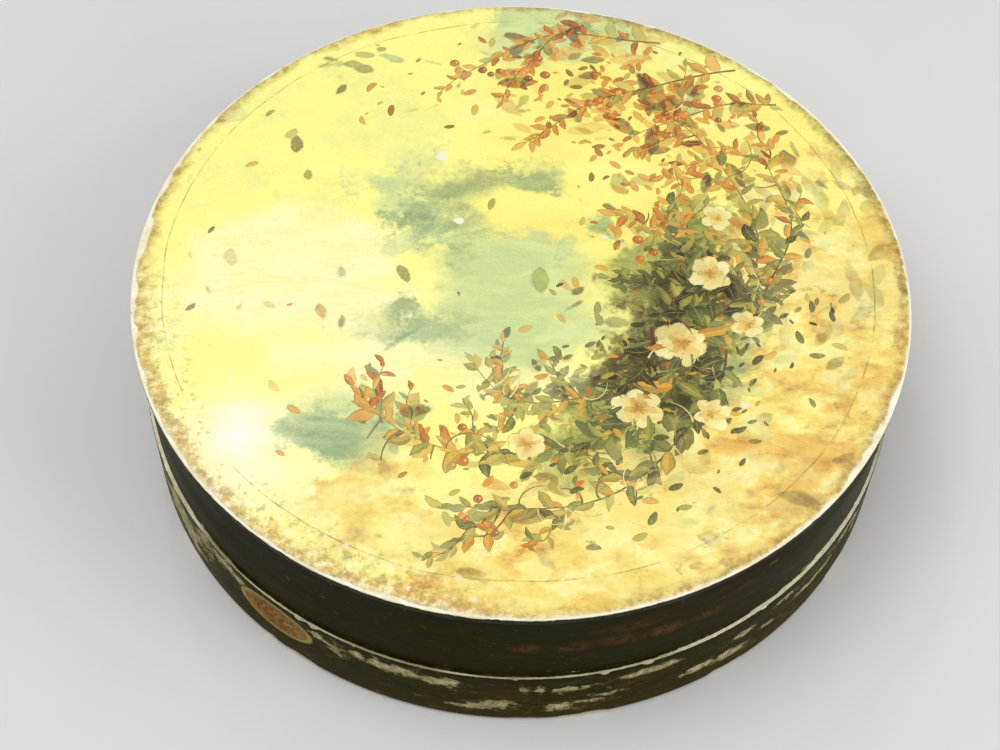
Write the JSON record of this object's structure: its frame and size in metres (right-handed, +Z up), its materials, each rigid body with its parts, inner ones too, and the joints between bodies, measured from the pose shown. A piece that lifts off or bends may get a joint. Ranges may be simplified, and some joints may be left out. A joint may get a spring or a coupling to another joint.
{
  "type": "round lidded keepsake box",
  "caption": "Shallow round box with a lift-off lid that stands on a ledge round an inner neck; painted sheet on the lid, dark painted sides, paper lined.",
  "frame": {"origin": "middle of the underside, on the surface that the box stands on", "axes": "+Z up along the axis that the lid lifts along; +X to the right in the pictured view, whose camera stands on the -Y side"},
  "size_m": [0.16, 0.16, 0.0425],
  "materials": {
    "painted_face": "painted in washes and covered with a yellowed gloss varnish, worn back at the rim",
    "pale_edge": "pale chalk ground on thin board, worn and chipped",
    "dark_side": "dark olive-brown paint under satin varnish, flaked to a pale ground",
    "bare_wood": "bare bent wood, rubbed smooth",
    "lining_paper": "cream lining paper, lightly foxed",
    "foot_paper": "brown paper, scuffed where it stands"
  },
  "bodies": {
    "base": {"base_hoop": "dark_side", "base_neck": "bare_wood", "floor_board": "bare_wood", "foot_paper": "foot_paper", "floor_lining": "lining_paper", "neck_lining": "lining_paper"},
    "lid": {"lid_skirt": "dark_side", "lid_board": "pale_edge", "lid_face_sheet": "painted_face", "lid_lining": "lining_paper", "skirt_lining": "lining_paper"}
  },
  "joints": [
    {"name": "lid_lift", "type": "slide", "parent": "base", "child": "lid", "axis": [0, 0, 1], "range_m": [0, 0.06]}
  ]
}
